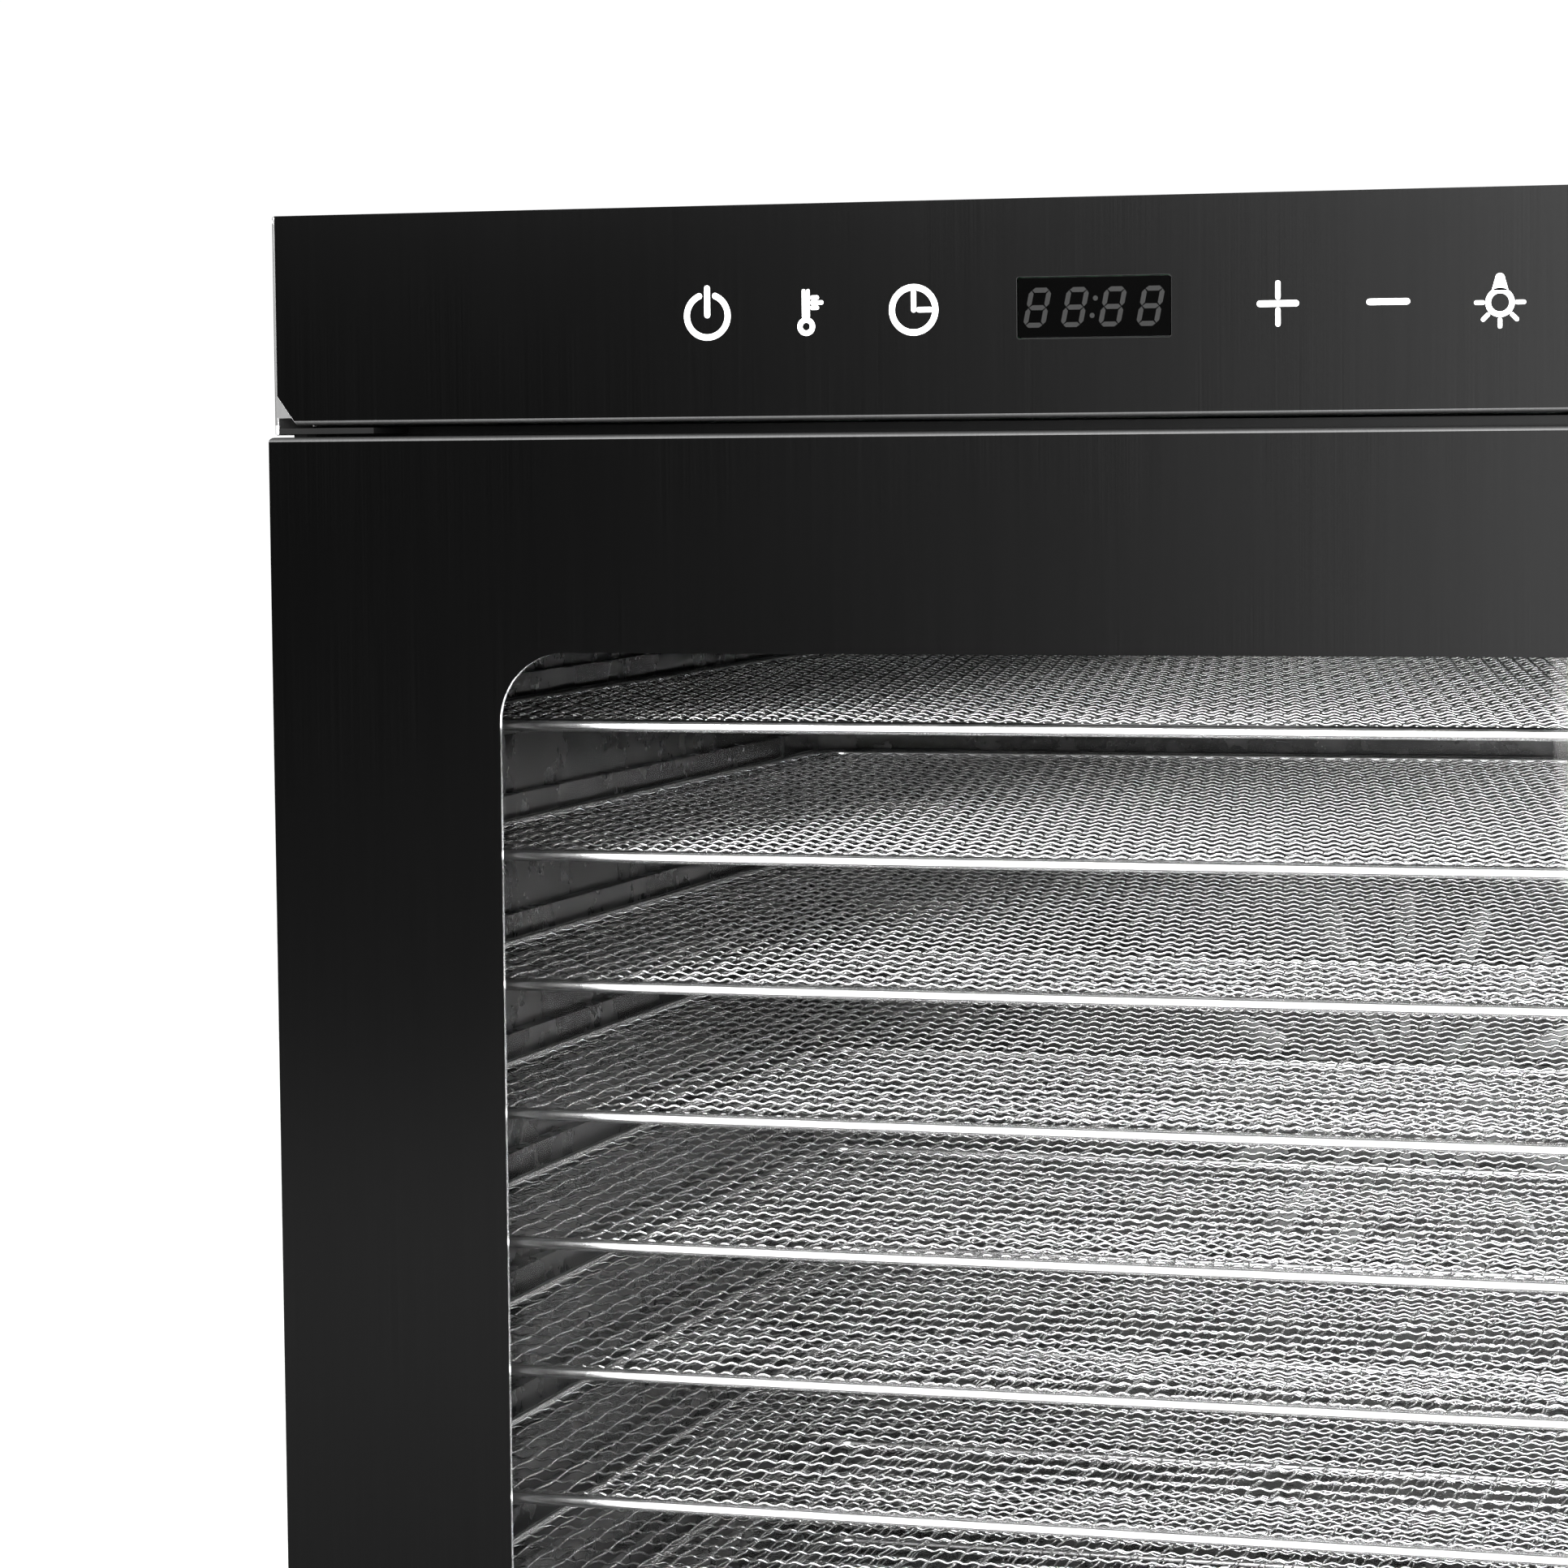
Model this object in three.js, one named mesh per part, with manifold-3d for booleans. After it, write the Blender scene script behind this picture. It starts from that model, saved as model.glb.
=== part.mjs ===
// A front-loading tray food dehydrator: a stainless cabinet with a glazed, left-hinged door,
// a touch-control fascia above it, ten wire-mesh trays on side runners, and a fan and ring
// heater behind a slotted rear baffle.
// Millimetres. +Z is up, the door faces -Y, and the origin is on the floor under the middle
// of the whole object.
import * as THREE from 'three';
import { mergeVertices } from 'three/addons/utils/BufferGeometryUtils.js';
import Module from 'manifold-3d';

// ---------------------------------------------------------------- driving dimensions
const CABINET_WIDTH = 414;
const OVERALL_DEPTH = 560; // handle to mains inlet
const OVERALL_HEIGHT = 513;
const FOOT_HEIGHT = 18;
const FOOT_RADIUS = 17;
const SHEET = 1.2; // outer sheet steel
const LINER_SHEET = 1;
const SEAM = 0.3; // gap left between pieces that meet

const DOOR_HEIGHT = 435;
const DOOR_THICKNESS = 22;
const DOOR_GROUND_GAP = 6; // door's lower edge above the cabinet's
const DOOR_REAR_GAP = 4; // between the door's back and the front frame
const WINDOW_SIDE_BORDER = 59.5;
const WINDOW_END_BORDER = 52.4;
const WINDOW_RADIUS = 17;
const GLASS_THICKNESS = 4;
const GLASS_OVERLAP = 12;
const HINGE_INSET = 6; // pivot from the door's left edge
const HINGE_DEPTH = 9; // pivot behind the door's face
const PIN_RADIUS = 3;
const PIN_CLEARANCE = 0.5;
const PIN_REACH = 12;

const HANDLE_REACH = 38; // door face to the front of the handle
const HANDLE_RADIUS = 6;
const HANDLE_LENGTH = 210;
const HANDLE_INSET = 27; // handle axis from the door's right edge
const HANDLE_BEND = 14;

const FASCIA_GAP = 3; // between the door's top and the fascia
const FASCIA_SETBACK = 2.5; // fascia's face behind the door's
const FASCIA_SIDE_INSET = 1.4; // shows the side panel's edge
const FASCIA_CUT_WIDTH = 5;
const FASCIA_CUT_HEIGHT = 7;
const DISPLAY_WIDTH = 36.8;
const DISPLAY_HEIGHT = 14.4;

const OPENING_WIDTH = 389; // hole in the front frame
const OPENING_BOTTOM = 50;
const OPENING_TOP = 441;
const LINER_HALF_WIDTH = 199.5;
const BAFFLE_Y = 178;
const MOTOR_PLATE_Y = 228;

const TRAY_COUNT = 10;
const TRAY_PITCH = 32.6;
const TOP_TRAY_DROP = 19.6; // top tray's rod below the window's upper edge
const TRAY_WIDTH = 386;
const TRAY_DEPTH = 380;
const TRAY_CORNER = 12;
const TRAY_ROD = 3.2;
const TRAY_MESH = 1;
const RUNNER_LEDGE = 15; // how far a runner's ledge stands out from the liner
const RUNNER_GUIDE = 4;
const RUNNER_LEDGE_HEIGHT = 5;
const RUNNER_GUIDE_HEIGHT = 9;

const FAN_RADIUS = 80;
const FAN_BLADES = 9;
const SHAFT_RADIUS = 3;
const MOTOR_RADIUS = 32;
const HEATER_RADIUS = 105;
const HEATER_TUBE = 3.3;

// ---------------------------------------------------------------- derived places
const HALF_WIDTH = CABINET_WIDTH / 2;
const HALF_DEPTH = OVERALL_DEPTH / 2;
const DOOR_FACE_Y = -HALF_DEPTH + HANDLE_REACH;
const DOOR_BACK_Y = DOOR_FACE_Y + DOOR_THICKNESS;
const DOOR_BOTTOM = FOOT_HEIGHT + DOOR_GROUND_GAP;
const DOOR_TOP = DOOR_BOTTOM + DOOR_HEIGHT;
const HINGE_X = -HALF_WIDTH + HINGE_INSET;
const HINGE_Y = DOOR_FACE_Y + HINGE_DEPTH;
const WINDOW_HALF = HALF_WIDTH - WINDOW_SIDE_BORDER;
const WINDOW_BOTTOM = DOOR_BOTTOM + WINDOW_END_BORDER;
const WINDOW_TOP = DOOR_TOP - WINDOW_END_BORDER;
const FRAME_FACE_Y = DOOR_BACK_Y + DOOR_REAR_GAP;
const FRAME_BACK_Y = FRAME_FACE_Y + SHEET;
const FASCIA_BOTTOM = DOOR_TOP + FASCIA_GAP;
const FASCIA_FACE_Y = DOOR_FACE_Y + FASCIA_SETBACK;
const FASCIA_BACK_Y = FASCIA_FACE_Y + SHEET;
const FASCIA_HALF = HALF_WIDTH - FASCIA_SIDE_INSET;
const FASCIA_MIDDLE = (FASCIA_BOTTOM + OVERALL_HEIGHT) / 2;
const COVER_BOTTOM = OVERALL_HEIGHT - SHEET;
const INLET_FLANGE = 2.7;
const REAR_FACE_Y = HALF_DEPTH - INLET_FLANGE - SEAM;
const REAR_INNER_Y = REAR_FACE_Y - SHEET;
const TOP_TRAY_Z = WINDOW_TOP - TOP_TRAY_DROP;
const TRAY_FRONT_Y = FRAME_BACK_Y + 5;
const TRAY_BACK_Y = TRAY_FRONT_Y + TRAY_DEPTH;
const FAN_Z = (OPENING_BOTTOM + OPENING_TOP) / 2;
const INLET_X = 150;
const INLET_Z = 70;

// ---------------------------------------------------------------- materials
const surface = (color, roughness, metalness) =>
  new THREE.MeshStandardMaterial({ color, roughness, metalness });
const blackSteel = () => surface(0x17171a, 0.42, 0.75);
const stainless = () => surface(0xb9bbbd, 0.32, 0.95);
const chromeWire = () => surface(0xe4e6e8, 0.12, 1);
const wovenMesh = () => surface(0xc9cbcd, 0.3, 0.95);
const galvanised = () => surface(0x9a9d9f, 0.55, 0.8);
const glass = () => surface(0x9fb0b0, 0.05, 0.1);
const blackRubber = () => surface(0x161616, 0.85, 0);
const blackPlastic = () => surface(0x1c1c1e, 0.55, 0);
const whiteSilicone = () => surface(0xd8d8d4, 0.7, 0);
const circuitBoard = () => surface(0x1f4d33, 0.6, 0.1);
const darkCoating = () => surface(0x2b2b2d, 0.6, 0.4);

// ---------------------------------------------------------------- solid helpers
const wasm = await Module();
wasm.setup();

function toSolid(geometry) {
  const bare = geometry.clone();
  bare.deleteAttribute('normal');
  bare.deleteAttribute('uv');
  const merged = mergeVertices(bare, 1e-4);
  return new wasm.Manifold(new wasm.Mesh({
    numProp: 3,
    vertProperties: Float32Array.from(merged.attributes.position.array),
    triVerts: Uint32Array.from(merged.index.array),
  }));
}

function toGeometry(solid) {
  const mesh = solid.getMesh();
  const geometry = new THREE.BufferGeometry();
  geometry.setAttribute('position', new THREE.BufferAttribute(mesh.vertProperties, 3));
  geometry.setIndex(new THREE.BufferAttribute(mesh.triVerts, 1));
  geometry.computeVertexNormals();
  return geometry;
}

function join(first, ...others) {
  return toGeometry(others.reduce((whole, piece) => whole.add(toSolid(piece)), toSolid(first)));
}

function cut(body, ...tools) {
  return toGeometry(tools.reduce((rest, tool) => rest.subtract(toSolid(tool)), toSolid(body)));
}

// A box from its span along each axis.
function box([x0, x1], [y0, y1], [z0, z1]) {
  const geometry = new THREE.BoxGeometry(x1 - x0, y1 - y0, z1 - z0);
  return geometry.translate((x0 + x1) / 2, (y0 + y1) / 2, (z0 + z1) / 2);
}

const COARSE = 3; // half the steps in each quarter of a small round corner
const FINE = 8; // and of the window's corners
const flat = (depth, curveSegments = COARSE) => ({ depth, bevelEnabled: false, curveSegments });

// An outline in (y, z) swept along X.
function alongX(shape, [x0, x1]) {
  const turn = new THREE.Matrix4().makeBasis(
    new THREE.Vector3(0, 1, 0), new THREE.Vector3(0, 0, 1), new THREE.Vector3(1, 0, 0));
  return new THREE.ExtrudeGeometry(shape, flat(x1 - x0)).applyMatrix4(turn).translate(x0, 0, 0);
}

// An outline in (x, z) swept along Y.
function alongY(shape, [y0, y1], curveSegments) {
  return new THREE.ExtrudeGeometry(shape, flat(y1 - y0, curveSegments))
    .rotateX(Math.PI / 2).translate(0, y1, 0);
}

// An outline in (x, y) swept along Z.
function alongZ(shape, [z0, z1]) {
  return new THREE.ExtrudeGeometry(shape, flat(z1 - z0)).translate(0, 0, z0);
}

function polygon(points) {
  return new THREE.Shape(points.map(([u, v]) => new THREE.Vector2(u, v)));
}

// A rectangle with round corners, from its span along each of its two axes.
function roundedRectangle([u0, u1], [v0, v1], radius) {
  const shape = new THREE.Shape();
  shape.absarc(u1 - radius, v0 + radius, radius, -Math.PI / 2, 0);
  shape.absarc(u1 - radius, v1 - radius, radius, 0, Math.PI / 2);
  shape.absarc(u0 + radius, v1 - radius, radius, Math.PI / 2, Math.PI);
  shape.absarc(u0 + radius, v0 + radius, radius, Math.PI, Math.PI * 1.5);
  shape.closePath();
  return shape;
}

function roundedRing([u0, u1], [v0, v1], radius, width) {
  const ring = roundedRectangle([u0, u1], [v0, v1], radius);
  const innerRadius = Math.max(radius - width, 1);
  ring.holes.push(roundedRectangle([u0 + width, u1 - width], [v0 + width, v1 - width], innerRadius));
  return ring;
}

function circle(u, v, radius) {
  return new THREE.Shape().absarc(u, v, radius, 0, Math.PI * 2);
}

// A solid of revolution about Y from [radius, y] pairs that run up the axis.
function turnedAboutY(profile, sides) {
  return new THREE.LatheGeometry(profile.map(([r, y]) => new THREE.Vector2(r, y)), sides);
}

// A round bar along a curve.
function bar(curve, radius, sides, steps) {
  const section = polygon(Array.from({ length: sides }, (_, i) => {
    const angle = (i / sides) * Math.PI * 2;
    return [radius * Math.cos(angle), radius * Math.sin(angle)];
  }));
  return new THREE.ExtrudeGeometry(section, { steps, bevelEnabled: false, extrudePath: curve });
}

const machine = new THREE.Group();

function addPiece(name, geometry, material) {
  const mesh = new THREE.Mesh(geometry, material);
  mesh.name = name;
  machine.add(mesh);
}

// ---------------------------------------------------------------- cabinet
// The side panel steps forward above the door, where an inward flange backs the fascia. In front
// of the front frame the step's lower edge hangs just above the door.
function sidePanel(side) {
  const earFront = FASCIA_BACK_Y + SEAM;
  const earBottom = DOOR_TOP + 0.5;
  const back = REAR_INNER_Y - SEAM;
  const outline = polygon([
    [FRAME_BACK_Y + SEAM, FOOT_HEIGHT], [back, FOOT_HEIGHT], [back, COVER_BOTTOM - SEAM],
    [earFront, COVER_BOTTOM - SEAM], [earFront, earBottom], [FRAME_FACE_Y - SEAM, earBottom],
    [FRAME_FACE_Y - SEAM, FASCIA_BOTTOM], [FRAME_BACK_Y + SEAM, FASCIA_BOTTOM],
  ]);
  const outer = side * HALF_WIDTH;
  const inner = side * (HALF_WIDTH - SHEET);
  const flangeEdge = side * (HALF_WIDTH - 15);
  const skin = alongX(outline, [Math.min(outer, inner), Math.max(outer, inner)]);
  const flange = box(
    [Math.min(outer, flangeEdge), Math.max(outer, flangeEdge)],
    [earFront, earFront + SHEET],
    [FASCIA_BOTTOM + SHEET + SEAM, COVER_BOTTOM - SEAM]);
  return join(skin, flange);
}

function topCover() {
  return box([-HALF_WIDTH, HALF_WIDTH], [FASCIA_BACK_Y + SEAM, REAR_FACE_Y],
    [COVER_BOTTOM, OVERALL_HEIGHT]);
}

function basePan() {
  const half = HALF_WIDTH - SHEET - SEAM;
  return box([-half, half], [FRAME_BACK_Y + SEAM, REAR_INNER_Y - SEAM],
    [FOOT_HEIGHT, FOOT_HEIGHT + SHEET]);
}

function frontFrame() {
  const top = FASCIA_BOTTOM - SEAM;
  const outline = polygon([
    [-HALF_WIDTH, FOOT_HEIGHT], [HALF_WIDTH, FOOT_HEIGHT], [HALF_WIDTH, top], [-HALF_WIDTH, top]]);
  outline.holes.push(roundedRectangle(
    [-OPENING_WIDTH / 2, OPENING_WIDTH / 2], [OPENING_BOTTOM, OPENING_TOP], 4));
  return alongY(outline, [FRAME_FACE_Y, FRAME_BACK_Y]);
}

function rearPanel() {
  const plate = box([-HALF_WIDTH, HALF_WIDTH], [REAR_INNER_Y, REAR_FACE_Y],
    [FOOT_HEIGHT, COVER_BOTTOM - SEAM]);
  const through = [REAR_INNER_Y - 1, REAR_FACE_Y + 1];
  const slotHeight = 4;
  const slotPitch = 11;
  const slotsPerBank = 9;
  const holes = [
    box([INLET_X - 14, INLET_X + 14], through, [INLET_Z - 10.5, INLET_Z + 10.5])];
  for (const bankX of [-70, 70]) {
    for (let i = 0; i < slotsPerBank; i += 1) {
      const z = FAN_Z + (i - (slotsPerBank - 1) / 2) * slotPitch;
      holes.push(box([bankX - 45, bankX + 45], through, [z, z + slotHeight]));
    }
  }
  return cut(plate, ...holes);
}

function foot(x, y) {
  const profile = [
    [0, 0], [FOOT_RADIUS - 3, 0], [FOOT_RADIUS - 1.5, 2],
    [FOOT_RADIUS, FOOT_HEIGHT - 4], [FOOT_RADIUS - 1, FOOT_HEIGHT - SEAM], [0, FOOT_HEIGHT - SEAM]];
  return turnedAboutY(profile, 20).rotateX(Math.PI / 2).translate(x, y, 0);
}

// ---------------------------------------------------------------- control panel
// A folded sheet: a face with cut lower corners, and a return along its lower edge.
function controlFascia() {
  const half = FASCIA_HALF;
  const shoulder = half - FASCIA_CUT_WIDTH;
  const face = polygon([
    [-shoulder, FASCIA_BOTTOM], [shoulder, FASCIA_BOTTOM],
    [half, FASCIA_BOTTOM + FASCIA_CUT_HEIGHT], [half, OVERALL_HEIGHT],
    [-half, OVERALL_HEIGHT], [-half, FASCIA_BOTTOM + FASCIA_CUT_HEIGHT]]);
  face.holes.push(displayOutline(0));
  const returnHalf = HALF_WIDTH - 16;
  const bottomReturn = box([-returnHalf, returnHalf], [FASCIA_FACE_Y, FRAME_FACE_Y - 2],
    [FASCIA_BOTTOM, FASCIA_BOTTOM + SHEET]);
  return join(alongY(face, [FASCIA_FACE_Y, FASCIA_BACK_Y]), bottomReturn);
}

function displayOutline(inset) {
  const halfWidth = DISPLAY_WIDTH / 2 - inset;
  const halfHeight = DISPLAY_HEIGHT / 2 - inset;
  return roundedRectangle([-halfWidth, halfWidth],
    [FASCIA_MIDDLE - halfHeight, FASCIA_MIDDLE + halfHeight], 0.6);
}

function displayWindow() {
  return alongY(displayOutline(SEAM), [FASCIA_FACE_Y + 0.1, FASCIA_BACK_Y + 0.6]);
}

function displayModule() {
  const front = FASCIA_BACK_Y + 1;
  return box([-17.8, 17.8], [front, front + 6], [FASCIA_MIDDLE - 7, FASCIA_MIDDLE + 7]);
}

function touchBoard() {
  const front = FASCIA_BACK_Y + 7.4;
  return box([-118, 118], [front, front + 1.6], [FASCIA_MIDDLE - 17, FASCIA_MIDDLE + 17]);
}

// ---------------------------------------------------------------- drying chamber
function trayHeight(index) {
  return TOP_TRAY_Z - index * TRAY_PITCH;
}

// One liner wall with its stepped runners: a ledge under each tray and a guide beside it.
function runnerPanel(side) {
  const wall = side * LINER_HALF_WIDTH;
  const inner = wall - side * LINER_SHEET;
  const ledge = inner - side * RUNNER_LEDGE;
  const guide = inner - side * RUNNER_GUIDE;
  const points = [[wall, OPENING_BOTTOM], [inner, OPENING_BOTTOM]];
  for (let i = TRAY_COUNT - 1; i >= 0; i -= 1) {
    const seat = trayHeight(i) - TRAY_ROD / 2 - SEAM;
    points.push(
      [inner, seat - RUNNER_LEDGE_HEIGHT], [ledge, seat - RUNNER_LEDGE_HEIGHT], [ledge, seat],
      [guide, seat], [guide, seat + RUNNER_GUIDE_HEIGHT], [inner, seat + RUNNER_GUIDE_HEIGHT]);
  }
  points.push([inner, OPENING_TOP], [wall, OPENING_TOP]);
  return alongY(polygon(points), [FRAME_BACK_Y + SEAM, BAFFLE_Y - SEAM]);
}

function linerFloor() {
  return box([-LINER_HALF_WIDTH, LINER_HALF_WIDTH], [FRAME_BACK_Y + SEAM, MOTOR_PLATE_Y - SEAM],
    [OPENING_BOTTOM - SEAM - LINER_SHEET, OPENING_BOTTOM - SEAM]);
}

const LAMP_Y = FRAME_BACK_Y + 45;

function linerCeiling() {
  const back = MOTOR_PLATE_Y - SEAM;
  const front = FRAME_BACK_Y + SEAM;
  const outline = polygon([
    [-LINER_HALF_WIDTH, front], [LINER_HALF_WIDTH, front],
    [LINER_HALF_WIDTH, back], [-LINER_HALF_WIDTH, back]]);
  outline.holes.push(roundedRectangle([-28, 28], [LAMP_Y - 8, LAMP_Y + 8], 4));
  return alongZ(outline, [OPENING_TOP + SEAM, OPENING_TOP + SEAM + LINER_SHEET]);
}

function lampLens() {
  const rim = alongZ(roundedRectangle([-34, 34], [LAMP_Y - 13, LAMP_Y + 13], 8),
    [OPENING_TOP - 1.5, OPENING_TOP]);
  const dome = alongZ(roundedRectangle([-29, 29], [LAMP_Y - 9, LAMP_Y + 9], 6),
    [OPENING_TOP - 4.5, OPENING_TOP - 1]);
  return join(rim, dome);
}

function lampBoard() {
  const bottom = OPENING_TOP + LINER_SHEET + 2 * SEAM;
  return box([-36, 36], [LAMP_Y - 12, LAMP_Y + 12], [bottom, bottom + 1.6]);
}

// The wall behind the trays: radial inlet slots in front of the fan and outlet slots by the sides.
function rearBaffle() {
  const plate = box([-LINER_HALF_WIDTH, LINER_HALF_WIDTH], [BAFFLE_Y, BAFFLE_Y + LINER_SHEET],
    [OPENING_BOTTOM, OPENING_TOP]);
  const through = [BAFFLE_Y - 1, BAFFLE_Y + LINER_SHEET + 1];
  const spokes = 16;
  const holes = [];
  for (const [inner, outer, width] of [[18, 36, 3.4], [42, 66, 6.5]]) {
    for (let i = 0; i < spokes; i += 1) {
      const slot = box([inner, outer], through, [-width / 2, width / 2]);
      holes.push(slot.rotateY((i / spokes) * Math.PI * 2).translate(0, 0, FAN_Z));
    }
  }
  for (let i = 0; i < TRAY_COUNT; i += 1) {
    const z = trayHeight(i) + TRAY_PITCH / 2;
    for (const middle of [-164, 164]) {
      holes.push(box([middle - 17, middle + 17], through, [z - 6, z]));
    }
  }
  return cut(plate, ...holes);
}

function temperatureProbe() {
  const tip = BAFFLE_Y - 42;
  return turnedAboutY([[0, tip], [1.8, tip + 0.8], [2.5, tip + 3], [2.5, BAFFLE_Y - 4],
    [5, BAFFLE_Y - 4], [5, BAFFLE_Y - SEAM], [0, BAFFLE_Y - SEAM]], 12)
    .translate(120, 0, OPENING_TOP - 18);
}

function trayFrame(z) {
  const chamfer = TRAY_ROD / (2 + Math.SQRT2);
  const ring = roundedRing([-TRAY_WIDTH / 2, TRAY_WIDTH / 2], [TRAY_FRONT_Y, TRAY_BACK_Y],
    TRAY_CORNER, TRAY_ROD);
  return new THREE.ExtrudeGeometry(ring, {
    depth: TRAY_ROD - 2 * chamfer,
    bevelThickness: chamfer,
    bevelSize: chamfer,
    bevelOffset: -chamfer,
    bevelSegments: 1,
    curveSegments: 2,
  }).translate(0, 0, z - TRAY_ROD / 2 + chamfer);
}

function trayMesh(z) {
  const inset = TRAY_ROD + SEAM;
  const half = TRAY_WIDTH / 2 - inset;
  return alongZ(roundedRectangle([-half, half], [TRAY_FRONT_Y + inset, TRAY_BACK_Y - inset],
    TRAY_CORNER - inset), [z - TRAY_MESH / 2, z + TRAY_MESH / 2]);
}

function dripTray() {
  const half = TRAY_WIDTH / 2 - 3;
  const front = TRAY_FRONT_Y;
  const back = TRAY_BACK_Y - 6;
  const bottom = OPENING_BOTTOM + 2;
  const wall = LINER_SHEET;
  const rim = 14;
  const pan = box([-half, half], [front, back], [bottom, bottom + rim]);
  const hollow = box([-half + wall, half - wall], [front + wall, back - wall],
    [bottom + wall, bottom + rim + 1]);
  const lip = box([-half, half], [front - 4, front + wall / 2], [bottom + rim - 1.2, bottom + rim]);
  return join(cut(pan, hollow), lip);
}

// ---------------------------------------------------------------- fan and heater
function motorPlate() {
  const plate = box([-LINER_HALF_WIDTH, LINER_HALF_WIDTH], [MOTOR_PLATE_Y, MOTOR_PLATE_Y + SHEET],
    [OPENING_BOTTOM, OPENING_TOP]);
  return cut(plate, alongY(circle(0, FAN_Z, SHAFT_RADIUS * 3),
    [MOTOR_PLATE_Y - 1, MOTOR_PLATE_Y + SHEET + 1]));
}

function fanMotor() {
  const front = MOTOR_PLATE_Y + SHEET + SEAM;
  const back = front + 34;
  const bore = SHAFT_RADIUS + PIN_CLEARANCE;
  return turnedAboutY([
    [bore, front], [MOTOR_RADIUS, front], [MOTOR_RADIUS, back - 5], [MOTOR_RADIUS - 5, back],
    [bore, back], [bore, front]], 20).translate(0, 0, FAN_Z);
}

const FAN_FRONT_Y = BAFFLE_Y + 12;
const FAN_DEPTH = 26;

function motorShaft() {
  return turnedAboutY([
    [0, FAN_FRONT_Y - 3], [SHAFT_RADIUS, FAN_FRONT_Y - 3],
    [SHAFT_RADIUS, MOTOR_PLATE_Y + 32], [0, MOTOR_PLATE_Y + 32]], 12).translate(0, 0, FAN_Z);
}

// A centrifugal wheel: a back plate, a hub and pitched blades, bored for the shaft.
function fanImpeller() {
  const back = FAN_FRONT_Y + FAN_DEPTH;
  const plate = turnedAboutY([[0, back - 1.5], [FAN_RADIUS, back - 1.5], [FAN_RADIUS, back], [0, back]], 24);
  const hub = turnedAboutY([[0, FAN_FRONT_Y], [12, FAN_FRONT_Y], [14, back - 1], [0, back - 1]], 16);
  const blades = Array.from({ length: FAN_BLADES }, (_, i) => {
    const blade = box([42, FAN_RADIUS - 2], [FAN_FRONT_Y, back - 1], [-0.6, 0.6]);
    blade.translate(-42, 0, 0).rotateY(0.45).translate(42, 0, 0);
    return blade.rotateY((i / FAN_BLADES) * Math.PI * 2);
  });
  const bore = SHAFT_RADIUS + SEAM;
  const hole = turnedAboutY([
    [0, FAN_FRONT_Y - 1], [bore, FAN_FRONT_Y - 1], [bore, back + 1], [0, back + 1]], 12);
  return cut(join(plate, hub, ...blades), hole).translate(0, 0, FAN_Z);
}

// A ring element around the fan, open at the top, with two legs back to the motor plate.
function heatingElement() {
  const ringY = BAFFLE_Y + 22;
  const arcPoints = 22;
  const gap = 0.28;
  const start = Math.PI / 2 + gap;
  const sweep = Math.PI * 2 - 2 * gap;
  const onRing = (angle, y) => new THREE.Vector3(
    HEATER_RADIUS * Math.cos(angle), y, FAN_Z + HEATER_RADIUS * Math.sin(angle));
  const points = [onRing(start - 0.02, MOTOR_PLATE_Y - 1), onRing(start - 0.02, MOTOR_PLATE_Y - 12)];
  for (let i = 0; i <= arcPoints; i += 1) {
    points.push(onRing(start + (0.04 + (0.92 * i) / arcPoints) * sweep, ringY));
  }
  points.push(onRing(start + sweep + 0.02, MOTOR_PLATE_Y - 12));
  points.push(onRing(start + sweep + 0.02, MOTOR_PLATE_Y - 1));
  return bar(new THREE.CatmullRomCurve3(points), HEATER_TUBE, 6, 44);
}

function powerBoard() {
  const front = MOTOR_PLATE_Y + SHEET + 8;
  return box([70, 180], [front, front + 1.6], [110, 190]);
}

// A flush mains socket: a flange outside the rear panel and a body through it, open to the rear.
function powerInlet() {
  const flangeFront = REAR_FACE_Y + SEAM;
  const bodyFront = REAR_FACE_Y - 20;
  const flange = alongY(roundedRectangle([INLET_X - 24, INLET_X + 24], [INLET_Z - 13, INLET_Z + 13], 3),
    [flangeFront, HALF_DEPTH]);
  const body = box([INLET_X - 13.6, INLET_X + 13.6], [bodyFront, HALF_DEPTH - 1],
    [INLET_Z - 10.1, INLET_Z + 10.1]);
  const socket = box([INLET_X - 11.6, INLET_X + 11.6], [bodyFront + 4, HALF_DEPTH + 1],
    [INLET_Z - 8, INLET_Z + 8]);
  const blades = [[-7, -1.5], [0, 2], [7, -1.5]].map(([dx, dz]) => box(
    [INLET_X + dx - 1, INLET_X + dx + 1], [bodyFront + 3, HALF_DEPTH - 5],
    [INLET_Z + dz - 2.2, INLET_Z + dz + 2.2]));
  return join(cut(join(flange, body), socket), ...blades);
}

// ---------------------------------------------------------------- door
function windowOutline(offset) {
  return roundedRectangle([-WINDOW_HALF - offset, WINDOW_HALF + offset],
    [WINDOW_BOTTOM - offset, WINDOW_TOP + offset], WINDOW_RADIUS + offset / 2);
}

function pinHole(z0, z1) {
  const radius = PIN_RADIUS + PIN_CLEARANCE;
  return alongZ(circle(HINGE_X, HINGE_Y, radius), [z0, z1]);
}

// The door's face with its folded sides, open at the back.
function doorOuterFrame() {
  const shell = box([-HALF_WIDTH, HALF_WIDTH], [DOOR_FACE_Y, DOOR_BACK_Y], [DOOR_BOTTOM, DOOR_TOP]);
  const inside = box(
    [-HALF_WIDTH + SHEET, HALF_WIDTH - SHEET], [DOOR_FACE_Y + SHEET, DOOR_BACK_Y + 1],
    [DOOR_BOTTOM + SHEET, DOOR_TOP - SHEET]);
  const windowHole = alongY(windowOutline(0), [DOOR_FACE_Y - 1, DOOR_FACE_Y + SHEET + 1], FINE);
  return cut(shell, inside, windowHole,
    pinHole(DOOR_BOTTOM - 1, DOOR_BOTTOM + SHEET + 1), pinHole(DOOR_TOP - SHEET - 1, DOOR_TOP + 1));
}

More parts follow.
